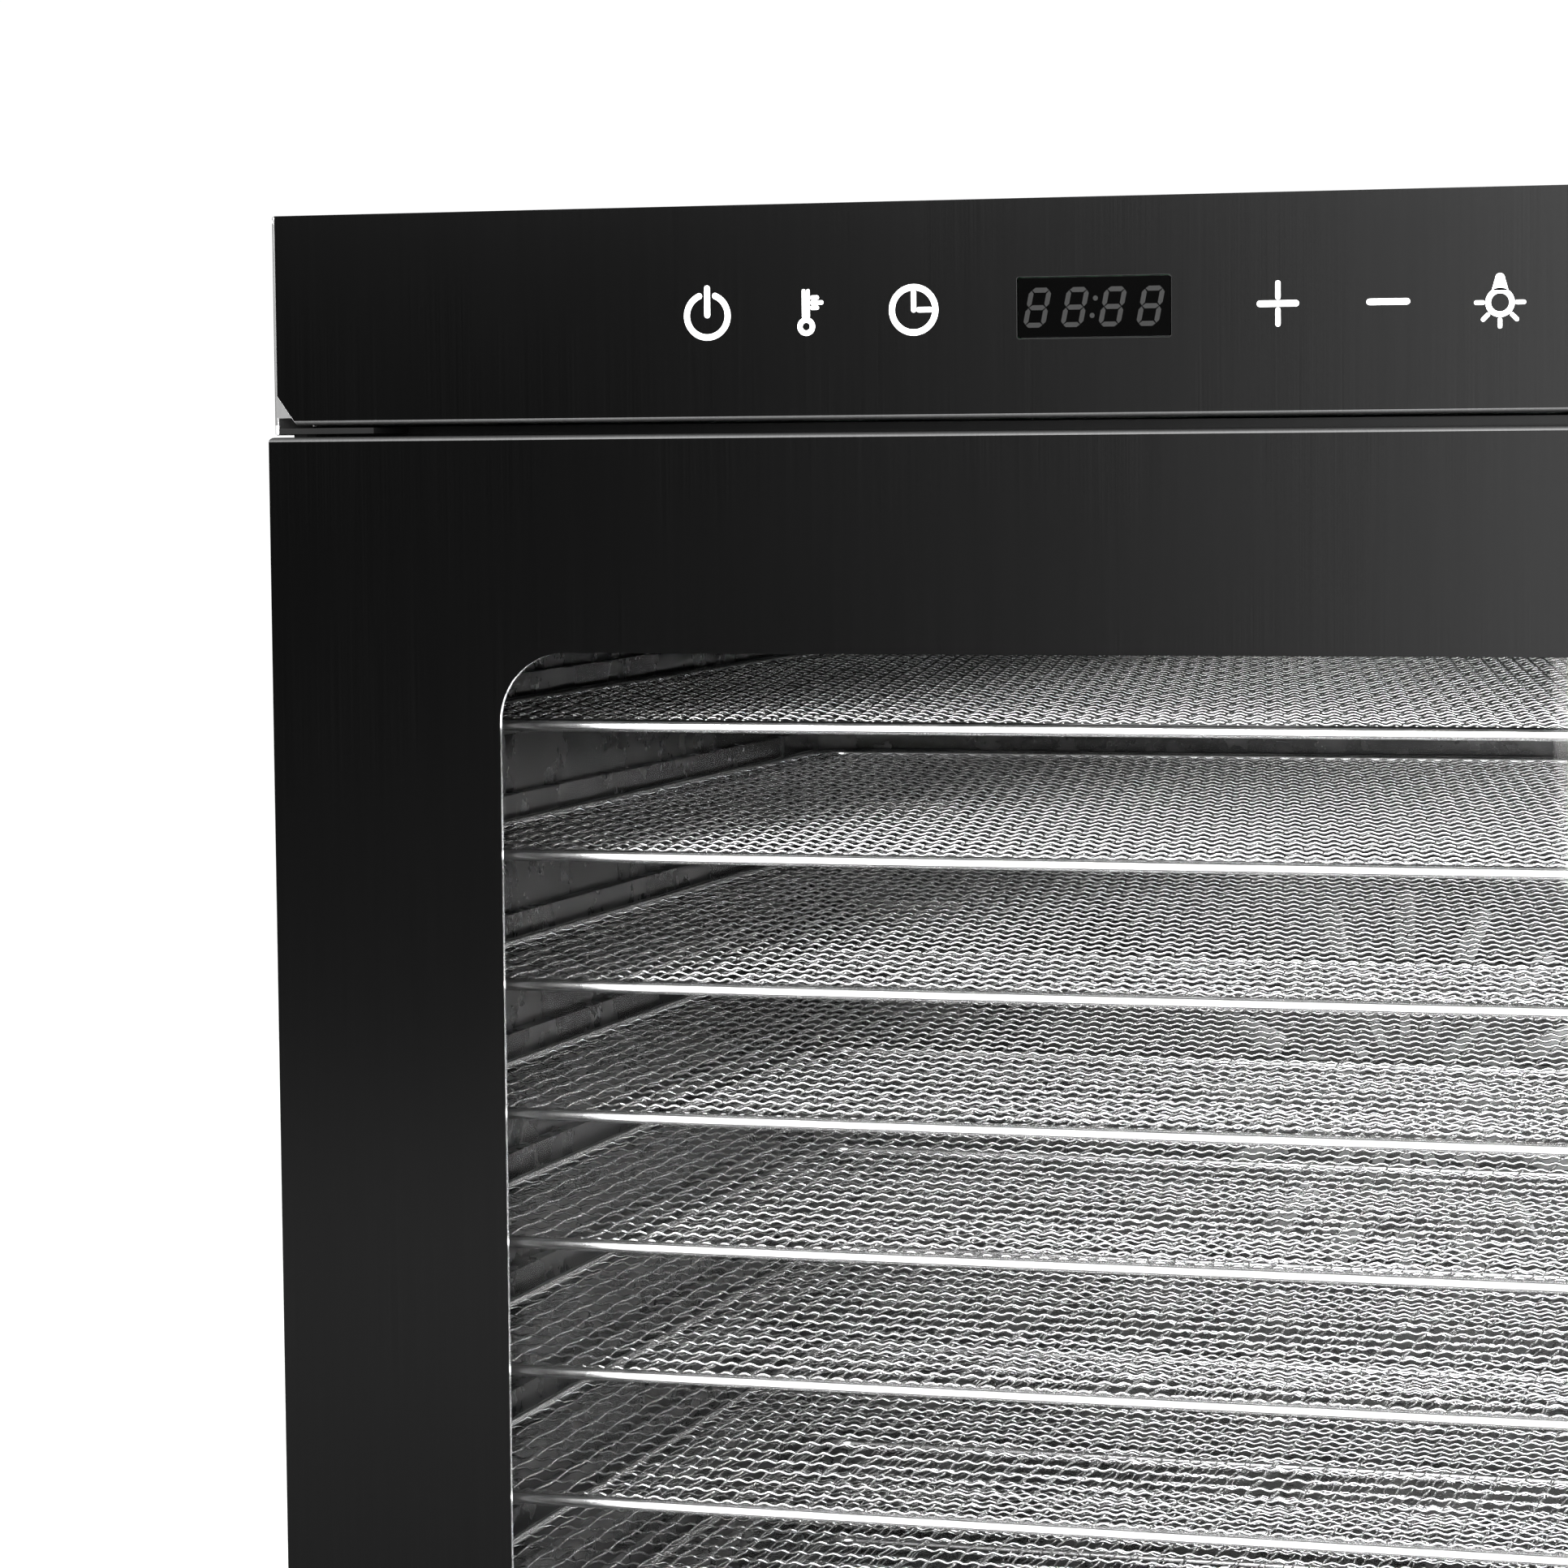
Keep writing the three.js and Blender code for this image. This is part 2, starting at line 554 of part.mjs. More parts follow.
const GLASS_FRONT_Y = DOOR_FACE_Y + SHEET + SEAM;
const GLASS_BACK_Y = GLASS_FRONT_Y + GLASS_THICKNESS;

function doorGlass() {
  return alongY(windowOutline(GLASS_OVERLAP), [GLASS_FRONT_Y, GLASS_BACK_Y], FINE);
}

function glassRetainer() {
  const ring = windowOutline(GLASS_OVERLAP + 4);
  ring.holes.push(windowOutline(8));
  return alongY(ring, [GLASS_BACK_Y + SEAM, GLASS_BACK_Y + SEAM + 5], FINE);
}

const INNER_WINDOW_OFFSET = 14;

// The door's back plate, with a collar round its wider window.
function doorInnerPanel() {
  const half = HALF_WIDTH - SHEET - SEAM;
  const plate = polygon([
    [-half, DOOR_BOTTOM + SHEET + SEAM], [half, DOOR_BOTTOM + SHEET + SEAM],
    [half, DOOR_TOP - SHEET - SEAM], [-half, DOOR_TOP - SHEET - SEAM]]);
  plate.holes.push(windowOutline(INNER_WINDOW_OFFSET));
  const collar = windowOutline(INNER_WINDOW_OFFSET + SHEET);
  collar.holes.push(windowOutline(INNER_WINDOW_OFFSET));
  return join(
    alongY(plate, [DOOR_BACK_Y - SHEET, DOOR_BACK_Y], FINE),
    alongY(collar, [DOOR_BACK_Y - 9, DOOR_BACK_Y - SHEET / 2], FINE));
}

function doorGasket() {
  const reach = 8;
  const half = OPENING_WIDTH / 2 + reach;
  const ring = roundedRing([-half, half], [OPENING_BOTTOM - reach, OPENING_TOP + reach], 10, 6);
  return alongY(ring, [DOOR_BACK_Y + SEAM, FRAME_FACE_Y - SEAM]);
}

// A bent round bar whose two ends stand on the door's face.
function doorHandle() {
  const x = HALF_WIDTH - HANDLE_INSET;
  const middle = (DOOR_BOTTOM + DOOR_TOP) / 2;
  const low = middle - HANDLE_LENGTH / 2 + HANDLE_RADIUS;
  const high = middle + HANDLE_LENGTH / 2 - HANDLE_RADIUS;
  const root = DOOR_FACE_Y - SEAM;
  const front = -HALF_DEPTH + HANDLE_RADIUS;
  const at = (y, z) => new THREE.Vector3(x, y, z);
  const path = new THREE.CurvePath();
  path.add(new THREE.LineCurve3(at(root, low), at(front + HANDLE_BEND, low)));
  path.add(new THREE.QuadraticBezierCurve3(
    at(front + HANDLE_BEND, low), at(front, low), at(front, low + HANDLE_BEND)));
  path.add(new THREE.LineCurve3(at(front, low + HANDLE_BEND), at(front, high - HANDLE_BEND)));
  path.add(new THREE.QuadraticBezierCurve3(
    at(front, high - HANDLE_BEND), at(front, high), at(front + HANDLE_BEND, high)));
  path.add(new THREE.LineCurve3(at(front + HANDLE_BEND, high), at(root, high)));
  return bar(path, HANDLE_RADIUS, 10, 30);
}

function hingePin(z0, z1) {
  return alongZ(circle(HINGE_X, HINGE_Y, PIN_RADIUS), [z0, z1]);
}

const BRACKET_EDGE_X = -HALF_WIDTH + SHEET + SEAM;
const BRACKET_WIDTH = 25;

// An angle on the front frame, with a pin up into the door.
function lowerHingeBracket() {
  const across = [BRACKET_EDGE_X, BRACKET_EDGE_X + BRACKET_WIDTH];
  const top = DOOR_BOTTOM - 0.8;
  const shelf = box(across, [DOOR_FACE_Y + 2, FRAME_FACE_Y - SEAM], [top - 2.5, top]);
  const tab = box(across, [FRAME_FACE_Y - SEAM - 1.6, FRAME_FACE_Y - SEAM], [FOOT_HEIGHT, top + 14]);
  return join(shelf, tab, hingePin(top - 1, DOOR_BOTTOM + PIN_REACH));
}

// A plate in the gap above the door, with a pin down into it.
function upperHingeBracket() {
  const plate = box([BRACKET_EDGE_X, BRACKET_EDGE_X + BRACKET_WIDTH],
    [DOOR_FACE_Y + 3, FRAME_FACE_Y - SEAM], [DOOR_TOP + 0.8, DOOR_TOP + 2.2]);
  return join(plate, hingePin(DOOR_TOP - PIN_REACH, DOOR_TOP + 1.5));
}

function catchMagnet() {
  const middle = (DOOR_BOTTOM + DOOR_TOP) / 2;
  return box([HALF_WIDTH - 3.8, HALF_WIDTH - 0.8], [FRAME_FACE_Y - SEAM - 2.6, FRAME_FACE_Y - SEAM],
    [middle - 22, middle + 22]);
}

// ---------------------------------------------------------------- assembly
addPiece('left_side_panel', sidePanel(-1), stainless());
addPiece('right_side_panel', sidePanel(1), stainless());
addPiece('top_cover', topCover(), stainless());
addPiece('base_pan', basePan(), galvanised());
addPiece('front_frame', frontFrame(), stainless());
addPiece('rear_panel', rearPanel(), stainless());
for (const [name, x, y] of [
  ['front_left_foot', -172, FRAME_FACE_Y + 30], ['front_right_foot', 172, FRAME_FACE_Y + 30],
  ['rear_left_foot', -172, REAR_FACE_Y - 30], ['rear_right_foot', 172, REAR_FACE_Y - 30]]) {
  addPiece(name, foot(x, y), blackRubber());
}

addPiece('control_fascia', controlFascia(), blackSteel());
addPiece('display_window', displayWindow(), blackPlastic());
addPiece('display_module', displayModule(), blackPlastic());
addPiece('touch_board', touchBoard(), circuitBoard());

addPiece('left_runner_panel', runnerPanel(-1), stainless());
addPiece('right_runner_panel', runnerPanel(1), stainless());
addPiece('liner_floor', linerFloor(), stainless());
addPiece('liner_ceiling', linerCeiling(), stainless());
addPiece('rear_baffle', rearBaffle(), stainless());
addPiece('lamp_lens', lampLens(), whiteSilicone());
addPiece('lamp_board', lampBoard(), circuitBoard());
addPiece('temperature_probe', temperatureProbe(), stainless());
addPiece('drip_tray', dripTray(), stainless());
for (let i = 0; i < TRAY_COUNT; i += 1) {
  const label = String(i + 1).padStart(2, '0');
  addPiece(`tray_${label}_frame`, trayFrame(trayHeight(i)), chromeWire());
  addPiece(`tray_${label}_mesh`, trayMesh(trayHeight(i)), wovenMesh());
}

addPiece('motor_plate', motorPlate(), galvanised());
addPiece('fan_motor', fanMotor(), darkCoating());
addPiece('motor_shaft', motorShaft(), stainless());
addPiece('fan_impeller', fanImpeller(), galvanised());
addPiece('heating_element', heatingElement(), darkCoating());
addPiece('power_board', powerBoard(), circuitBoard());
addPiece('power_inlet', powerInlet(), blackPlastic());

addPiece('door_outer_frame', doorOuterFrame(), blackSteel());
addPiece('door_glass', doorGlass(), glass());
addPiece('glass_retainer', glassRetainer(), darkCoating());
addPiece('door_inner_panel', doorInnerPanel(), stainless());
addPiece('door_gasket', doorGasket(), whiteSilicone());
addPiece('door_handle', doorHandle(), stainless());
addPiece('lower_hinge_bracket', lowerHingeBracket(), stainless());
addPiece('upper_hinge_bracket', upperHingeBracket(), stainless());
addPiece('catch_magnet', catchMagnet(), darkCoating());

export default machine;
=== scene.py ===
"""Looks, light and camera for a tray food dehydrator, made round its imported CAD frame.

Metres, +Z up, the door faces -Y. The CAD nodes keep their shapes and get materials here. The tray
rods, woven wire and handle are replaced with finer pieces, and the printed symbols are added.
"""

import math

import bmesh
import bpy
from mathutils import Matrix, Vector


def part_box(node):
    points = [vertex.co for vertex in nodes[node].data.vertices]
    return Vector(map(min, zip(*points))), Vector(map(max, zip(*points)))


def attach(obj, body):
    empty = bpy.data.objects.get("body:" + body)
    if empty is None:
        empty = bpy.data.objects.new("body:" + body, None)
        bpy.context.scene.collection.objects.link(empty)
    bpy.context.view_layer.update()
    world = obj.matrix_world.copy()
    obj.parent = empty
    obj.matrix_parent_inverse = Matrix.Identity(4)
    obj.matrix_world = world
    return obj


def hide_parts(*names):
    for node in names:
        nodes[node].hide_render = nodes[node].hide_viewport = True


MM = 0.001
UP = Vector((0.0, 0.0, 1.0))
TRAY_COUNT = 10
FASCIA_CORNER_CUT = 7 * MM

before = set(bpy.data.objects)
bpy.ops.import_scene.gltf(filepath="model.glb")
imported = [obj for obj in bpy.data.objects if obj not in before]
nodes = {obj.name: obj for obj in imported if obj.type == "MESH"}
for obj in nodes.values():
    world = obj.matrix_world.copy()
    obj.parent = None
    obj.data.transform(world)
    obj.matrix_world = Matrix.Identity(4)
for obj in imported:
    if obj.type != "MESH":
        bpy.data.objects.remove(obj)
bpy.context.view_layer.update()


# ---------------------------------------------------------------- shader node helpers
def add(tree, kind, inputs=None, **settings):
    """Adds a node. An input is a plain value, or another node's output to link from."""
    node = tree.nodes.new(kind)
    for name, value in settings.items():
        setattr(node, name, value)
    for name, value in (inputs or {}).items():
        if isinstance(value, bpy.types.NodeSocket):
            tree.links.new(value, node.inputs[name])
        else:
            node.inputs[name].default_value = value
    return node


def principled(name, **inputs):
    """A Principled material. Inputs are named as its sockets are, with _ for a space."""
    material = bpy.data.materials.new(name)
    material.use_nodes = True
    shader = material.node_tree.nodes["Principled BSDF"]
    for key, value in inputs.items():
        shader.inputs[key.replace("_", " ")].default_value = value
    return material, material.node_tree, shader


def grey(level):
    return (level, level, level, 1.0)


def noise(tree, scale, detail=3.0, roughness=0.55):
    """Noise in the piece's own frame, with a scale for each axis, in cells per metre."""
    place = add(tree, "ShaderNodeTexCoord").outputs["Object"]
    mapping = add(tree, "ShaderNodeMapping", {"Vector": place, "Scale": scale})
    texture = add(tree, "ShaderNodeTexNoise", {
        "Vector": mapping.outputs["Vector"], "Scale": 1.0, "Detail": detail, "Roughness": roughness})
    return texture.outputs["Fac"]


def ranged(tree, value, low, high, start=0.3, end=0.7):
    """Value from start to end becomes low to high."""
    return add(tree, "ShaderNodeMapRange", {
        "Value": value, "From Min": start, "From Max": end, "To Min": low, "To Max": high,
    }).outputs["Result"]


def blended(tree, share, first, second):
    """From the first colour to the second as share goes from 0 to 1."""
    ramp = add(tree, "ShaderNodeValToRGB", {"Fac": share})
    ramp.color_ramp.elements[0].color = first
    ramp.color_ramp.elements[1].color = second
    return ramp.outputs["Color"]


def within(tree, value, middle, reach):
    """1 where value is within reach of middle, 0 elsewhere."""
    return add(tree, "ShaderNodeMath", {0: value, 1: middle, 2: reach}, operation="COMPARE").outputs[0]


def bumped(tree, shader, height, distance, strength=1.0):
    bump = add(tree, "ShaderNodeBump", {"Height": height, "Distance": distance, "Strength": strength})
    tree.links.new(bump.outputs["Normal"], shader.inputs["Normal"])


# ---------------------------------------------------------------- materials
FINE_GRAIN = 3600.0  # cells per metre across the grain
LONG_GRAIN = 14.0  # and along it
ACROSS_X = (FINE_GRAIN, FINE_GRAIN, LONG_GRAIN)  # upright grain
ACROSS_Z = (FINE_GRAIN, LONG_GRAIN, FINE_GRAIN)  # grain from front to back
ALONG_X = (LONG_GRAIN, FINE_GRAIN, FINE_GRAIN)  # grain from side to side
FINISH_SPREAD = 0.06  # how far a brushed finish varies in roughness
GRAIN_SPREAD = 0.15  # and a grained one
WINDOW_MASK_INSET = 30 * MM  # the window's cut wall lies further in than this
WINDOW_WALL_DEPTH = 3 * MM


def brushed_metal(name, dark, light, roughness, grain, anisotropy, tangent_axis):
    """Metal with long fine brush lines and a slightly uneven finish."""
    material, tree, shader = principled(name, Metallic=1.0, Anisotropic=anisotropy)
    lines = noise(tree, grain, detail=4.0, roughness=0.7)
    cloud = noise(tree, (7.0, 7.0, 7.0), detail=2.0)
    tone = blended(tree, ranged(tree, lines, 0.0, 1.0), grey(dark), grey(light))
    tree.links.new(tone, shader.inputs["Base Color"])
    uneven = add(tree, "ShaderNodeMath", {0: lines, 1: cloud}, operation="ADD")
    rough = ranged(tree, uneven.outputs[0], roughness * (1 - FINISH_SPREAD),
                   roughness * (1 + FINISH_SPREAD), start=0.7, end=1.3)
    tree.links.new(rough, shader.inputs["Roughness"])
    tangent = add(tree, "ShaderNodeTangent", direction_type="RADIAL", axis=tangent_axis)
    tree.links.new(tangent.outputs["Tangent"], shader.inputs["Tangent"])
    bumped(tree, shader, lines, 0.02 * MM, strength=0.25)
    return material


def black_steel():
    return brushed_metal("black_brushed_steel_and_painted_shade", dark=0.0045, light=0.0055, roughness=0.21,
                         grain=ACROSS_X, anisotropy=0.8, tangent_axis="Z")


def recolour(material, colour, masks):
    """Changes a metal to the colour wherever all of the masks are 1."""
    tree = material.node_tree
    shader = tree.nodes["Principled BSDF"]
    before = shader.inputs["Base Color"].links[0].from_socket
    share = masks[0]
    for mask in masks[1:]:
        share = add(tree, "ShaderNodeMath", {0: share, 1: mask}, operation="MULTIPLY").outputs[0]
    mixed = add(tree, "ShaderNodeMix", {6: before, 7: colour, 0: share}, data_type="RGBA")
    tree.links.new(mixed.outputs[2], shader.inputs["Base Color"])


def axes(tree, coordinate):
    """The X, Y and Z of a point, or of the way the surface faces, in the piece's own frame."""
    coordinates = add(tree, "ShaderNodeTexCoord").outputs[coordinate]
    return add(tree, "ShaderNodeSeparateXYZ", {"Vector": coordinates}).outputs


def door_steel():
    """Black steel, left bare on the cut wall round the window."""
    material = black_steel()
    material.name = "black_brushed_door_steel"
    tree = material.node_tree
    place = axes(tree, "Object")
    low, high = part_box("door_outer_frame")
    centre = (low + high) / 2
    reach = (high - low) / 2 - Vector((WINDOW_MASK_INSET, 0.0, WINDOW_MASK_INSET))
    recolour(material, grey(0.75), [
        within(tree, axes(tree, "Normal")["Y"], 0.0, 0.5),
        within(tree, place["X"], centre.x, reach.x),
        within(tree, place["Y"], low.y, WINDOW_WALL_DEPTH),
        within(tree, place["Z"], centre.z, reach.z)])
    return material


def fascia_edge():
    """The rubbed edge of the fascia's sheet, bare where its lower corners are cut off."""
    material = rubbed_fold()
    material.name = "fascia_edge_steel"
    tree = material.node_tree
    place = axes(tree, "Object")
    low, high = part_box("control_fascia")
    distance = add(tree, "ShaderNodeMath", {0: place["X"]}, operation="ABSOLUTE").outputs[0]
    recolour(material, grey(0.85), [
        within(tree, distance, high.x, FASCIA_CORNER_CUT),
        within(tree, place["Z"], low.z, FASCIA_CORNER_CUT)])
    return material


def rubbed_fold():
    """Where black sheet is folded, the colour is rubbed thinner."""
    return brushed_metal("black_steel_fold", dark=0.05, light=0.07, roughness=0.55,
                         grain=ACROSS_X, anisotropy=0.0, tangent_axis="Z")


def stainless(name, grain, tangent_axis="Z"):
    return brushed_metal(name, dark=0.30, light=0.42, roughness=0.32, grain=grain, anisotropy=0.6,
                         tangent_axis=tangent_axis)


def side_steel():
    """Upright brushed stainless, coloured darker on its front faces behind the fascia as painted shade."""
    material = stainless("upright_side_steel_with_painted_shade", ACROSS_X)
    tree = material.node_tree
    low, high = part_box("control_fascia")
    # Painted shade: the front faces behind the fascia are coloured dark grey where shade falls between the
    # parts.
    recolour(material, grey(0.13), [
        within(tree, axes(tree, "Normal")["Y"], -1.0, 0.5),
        within(tree, axes(tree, "Object")["Z"], high.z, high.z - low.z)])
    return material


def liner_steel():
    """Unevenly stained rolled sheet, painted far darker than new steel as painted shade, so that the
    cabinet looks dark inside.
    """
    material, tree, shader = principled("rolled_liner_steel_painted_shade", Metallic=1.0)
    stain = noise(tree, (28.0, 28.0, 28.0), detail=6.0, roughness=0.65)
    fine = noise(tree, (700.0, 160.0, 700.0), detail=3.0)
    # The grey levels are painted shade: far darker than steel, standing in for the shade inside the
    # cabinet.
    colour = blended(tree, ranged(tree, stain, 0.0, 1.0), grey(0.012), grey(0.06))
    tree.links.new(colour, shader.inputs["Base Color"])
    tree.links.new(ranged(tree, stain, 0.20, 0.34), shader.inputs["Roughness"])
    bumped(tree, shader, fine, 0.03 * MM, strength=0.4)
    return material


def chrome():
    material, tree, shader = principled("chromed_rod", Metallic=1.0)
    haze = noise(tree, (160.0, 160.0, 160.0), detail=4.0)
    colour = blended(tree, ranged(tree, haze, 0.0, 1.0), grey(0.84), grey(0.93))
    tree.links.new(colour, shader.inputs["Base Color"])
    tree.links.new(ranged(tree, haze, 0.20, 0.26), shader.inputs["Roughness"])
    return material


def woven_steel():
    material, tree, shader = principled("woven_stainless_wire", Metallic=1.0)
    drawn = noise(tree, (240.0, 240.0, 240.0), detail=3.0)
    colour = blended(tree, ranged(tree, drawn, 0.0, 1.0), grey(0.66), grey(0.80))
    tree.links.new(colour, shader.inputs["Base Color"])
    tree.links.new(ranged(tree, drawn, 0.14, 0.20), shader.inputs["Roughness"])
    return material


def galvanised():
    """Zinc spangle: flat crystal patches that differ in tone."""
    material, tree, shader = principled("galvanised_steel", Metallic=0.9)
    place = add(tree, "ShaderNodeTexCoord").outputs["Object"]
    cells = add(tree, "ShaderNodeTexVoronoi", {"Vector": place, "Scale": 110.0, "Randomness": 1.0})
    patch = add(tree, "ShaderNodeSeparateColor", {"Color": cells.outputs["Color"]}).outputs[0]
    colour = blended(tree, patch, grey(0.38), grey(0.56))
    tree.links.new(colour, shader.inputs["Base Color"])
    tree.links.new(ranged(tree, patch, 0.38, 0.55, start=0.0, end=1.0), shader.inputs["Roughness"])
    bumped(tree, shader, noise(tree, (300.0, 300.0, 300.0)), 0.02 * MM, strength=0.4)
    return material


def spun_aluminium():
    material, tree, shader = principled("spun_aluminium", Metallic=1.0)
    grain = noise(tree, (500.0, 500.0, 500.0), detail=4.0)
    colour = blended(tree, ranged(tree, grain, 0.0, 1.0), grey(0.50), grey(0.68))
    tree.links.new(colour, shader.inputs["Base Color"])
    tree.links.new(ranged(tree, grain, 0.34, 0.48), shader.inputs["Roughness"])
    bumped(tree, shader, grain, 0.03 * MM, strength=0.5)
    return material


def grained(name, dark, light, roughness, cell, depth, metallic=0.0):
    """Moulded or coated surface with an even fine grain."""
    material, tree, shader = principled(name, Metallic=metallic)
    grain = noise(tree, (1.0 / cell,) * 3, detail=3.0)
    cloud = noise(tree, (12.0, 12.0, 12.0), detail=3.0)
    colour = blended(tree, ranged(tree, cloud, 0.0, 1.0), dark, light)
    tree.links.new(colour, shader.inputs["Base Color"])
    rough = ranged(tree, grain, roughness * (1 - GRAIN_SPREAD), roughness * (1 + GRAIN_SPREAD))
    tree.links.new(rough, shader.inputs["Roughness"])
    bumped(tree, shader, grain, depth, strength=0.6)
    return material


def black_rubber():
    return grained("black_rubber", dark=grey(0.012), light=grey(0.022), roughness=0.75,
                   cell=0.6 * MM, depth=0.05 * MM)


def black_plastic():
    return grained("black_plastic", dark=grey(0.010), light=grey(0.016), roughness=0.45,
                   cell=0.4 * MM, depth=0.02 * MM)


def silicone():
    return grained("gasket_silicone", dark=grey(0.52), light=grey(0.62), roughness=0.55,
                   cell=1.2 * MM, depth=0.03 * MM)


def dark_coating():
    return grained("dark_coating", dark=grey(0.020), light=grey(0.035), roughness=0.5,
                   cell=0.5 * MM, depth=0.03 * MM, metallic=0.3)


def heater_sheath():
    return grained("heater_sheath", dark=grey(0.10), light=grey(0.20), roughness=0.45,
                   cell=0.8 * MM, depth=0.03 * MM, metallic=0.9)


def circuit_board():
    """Green solder mask over a faint net of copper tracks."""
    material, tree, shader = principled("circuit_board", Roughness=0.35)
    place = add(tree, "ShaderNodeTexCoord").outputs["Object"]
    tracks = add(tree, "ShaderNodeTexVoronoi", {
        "Vector": place, "Scale": 170.0, "Randomness": 0.15}, distance="MANHATTAN")
    share = ranged(tree, tracks.outputs["Distance"], 0.0, 1.0, start=0.55, end=0.7)
    colour = blended(tree, share, (0.010, 0.075, 0.030, 1.0), (0.030, 0.160, 0.060, 1.0))
    tree.links.new(colour, shader.inputs["Base Color"])
    bumped(tree, shader, share, 0.03 * MM, strength=0.6)
    return material


def frosted_lens():
    return grained("frosted_lens", dark=grey(0.80), light=grey(0.88), roughness=0.45,
                   cell=0.8 * MM, depth=0.04 * MM)


def dull(name, dark, light, roughness):
    """A dark grained surface that mirrors very little."""
    material = grained(name, grey(dark), grey(light), roughness, cell=0.8 * MM, depth=0.005 * MM)
    material.node_tree.nodes["Principled BSDF"].inputs["Specular IOR Level"].default_value = 0.0
    return material


def black_zinc_and_painted_shade():
    # Its near-black colour is painted shade for the hinge brackets in the gap between the door and the
    # fascia.
    return dull("black_zinc_and_painted_shade", dark=0.006, light=0.012, roughness=0.5)


def smoked_lens():
    """Near-black acrylic, without the mirror sheen that real acrylic has."""
    return dull("smoked_lens", dark=0.0006, light=0.0012, roughness=0.22)


GLASS_IOR = 1.12  # real glass has about 1.5; less keeps the trays clear of reflections


def clear_glass():
    """Thin clear glass: it mirrors by angle and lets lamplight through."""
    material = bpy.data.materials.new("clear_door_glass")
    material.use_nodes = True
    tree = material.node_tree
    tree.nodes.clear()
    clear = add(tree, "ShaderNodeBsdfTransparent", {"Color": grey(0.97)})
    mirror = add(tree, "ShaderNodeBsdfGlossy", {"Color": grey(1.0), "Roughness": 0.02})
    share = add(tree, "ShaderNodeFresnel", {"IOR": GLASS_IOR})
    both = add(tree, "ShaderNodeMixShader", {"Fac": share.outputs["Fac"]})
    tree.links.new(clear.outputs[0], both.inputs[1])
    tree.links.new(mirror.outputs[0], both.inputs[2])
    output = add(tree, "ShaderNodeOutputMaterial")
    tree.links.new(both.outputs[0], output.inputs["Surface"])
    return material


def printed_white():
    material, tree, shader = principled("printed_white_ink", Roughness=0.5)
    ink = noise(tree, (1800.0, 1800.0, 1800.0), detail=2.0)
    colour = blended(tree, ranged(tree, ink, 0.0, 1.0), grey(0.88), grey(0.96))
    tree.links.new(colour, shader.inputs["Base Color"])
    bumped(tree, shader, ink, 0.01 * MM, strength=0.4)
    return material


def unlit_segment():
    return dull("unlit_segment", dark=0.016, light=0.022, roughness=0.6)


def pale_floor():
    return grained("pale_floor", dark=grey(0.95), light=grey(0.97), roughness=0.9,
                   cell=4.0 * MM, depth=0.02 * MM)


# ---------------------------------------------------------------- CAD nodes
WELD_REACH = 0.005 * MM
SAME_PLACE = 0.05 * MM
FLAT_ANGLE = math.radians(1)  # faces that meet at less are one flat face
SMOOTH_ANGLE = math.radians(35)  # edges sharper than this stay sharp
ROUND_ANGLE = math.radians(50)  # edges sharper than this are rounded
DOOR_FOLD = 1.1 * MM
FASCIA_FOLD = 1.0 * MM
FASCIA_EDGE = 0.35 * MM
PANEL_EDGE = 0.4 * MM
FOLD_SEGMENTS = 4
EDGE_SEGMENTS = 2
FOLD_MATERIAL = 1  # places in a node's list of materials
EDGE_MATERIAL = 2


def bare_nodes():
    for node in nodes.values():
        node.data.materials.clear()


def paint(material, *names):
    for name in names:
        nodes[name].data.materials.append(material)


def shading_group():
    """Geometry nodes that shade a mesh smooth, except across edges of more than 35 degrees."""
    group = bpy.data.node_groups.new("shade_by_angle", "GeometryNodeTree")
    for way in ("INPUT", "OUTPUT"):
        group.interface.new_socket("Geometry", in_out=way, socket_type="NodeSocketGeometry")
    mesh = add(group, "NodeGroupInput").outputs[0]
    bare = add(group, "GeometryNodeRemoveAttribute", {"Geometry": mesh, "Name": "custom_normal"})
    smooth = add(group, "GeometryNodeSetShadeSmooth", {
        "Geometry": bare.outputs[0], "Shade Smooth": True}, domain="FACE")
    angle = add(group, "GeometryNodeInputMeshEdgeAngle").outputs["Unsigned Angle"]
    gentle = add(group, "FunctionNodeCompare", {0: angle, 1: SMOOTH_ANGLE}, operation="LESS_THAN")
    split = add(group, "GeometryNodeSetShadeSmooth", {
        "Geometry": smooth.outputs[0], "Shade Smooth": gentle.outputs[0]}, domain="EDGE")
    add(group, "NodeGroupOutput", {0: split.outputs[0]})
    return group


def merge_flat(node):
    """Joins the triangles of each flat face, so that only real edges are left to round."""
    node.modifiers.new("weld", "WELD").merge_threshold = WELD_REACH
    flat = node.modifiers.new("flat", "DECIMATE")
    flat.decimate_type = "DISSOLVE"
    flat.angle_limit = FLAT_ANGLE


def round_edges(node, width, segments, material_index=0):
    bevel = node.modifiers.new("round_edges", "BEVEL")
    bevel.width = width
    bevel.segments = segments
    bevel.limit_method = "ANGLE"
    bevel.angle_limit = ROUND_ANGLE
    bevel.material = material_index
    return bevel


def fold_edges(node, name, width, is_folded, material_index):
    """Rounds the edges between the vertices that is_folded picks, as a sheet is where it folds."""
    group = node.vertex_groups.new(name=name)
    group.add([v.index for v in node.data.vertices if is_folded(v.co)], 1.0, "REPLACE")
    bevel = round_edges(node, width, FOLD_SEGMENTS, material_index)
    bevel.name = name
    bevel.limit_method = "VGROUP"
    bevel.vertex_group = group.name


def shade(node, group):
    node.modifiers.new("shade_by_angle", "NODES").node_group = group
    weighted = node.modifiers.new("flat_faces_stay_flat", "WEIGHTED_NORMAL")
    weighted.keep_sharp = True


def near(first, second):
    return abs(first - second) < SAME_PLACE


def round_door_folds():
    low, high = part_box("door_outer_frame")
    door = nodes["door_outer_frame"]
    merge_flat(door)
    for name, height in (("bottom_fold", low.z), ("top_fold", high.z)):
        fold_edges(door, name, DOOR_FOLD, lambda co: (
            near(abs(co.x), high.x) and near(co.z, height)), FOLD_MATERIAL)


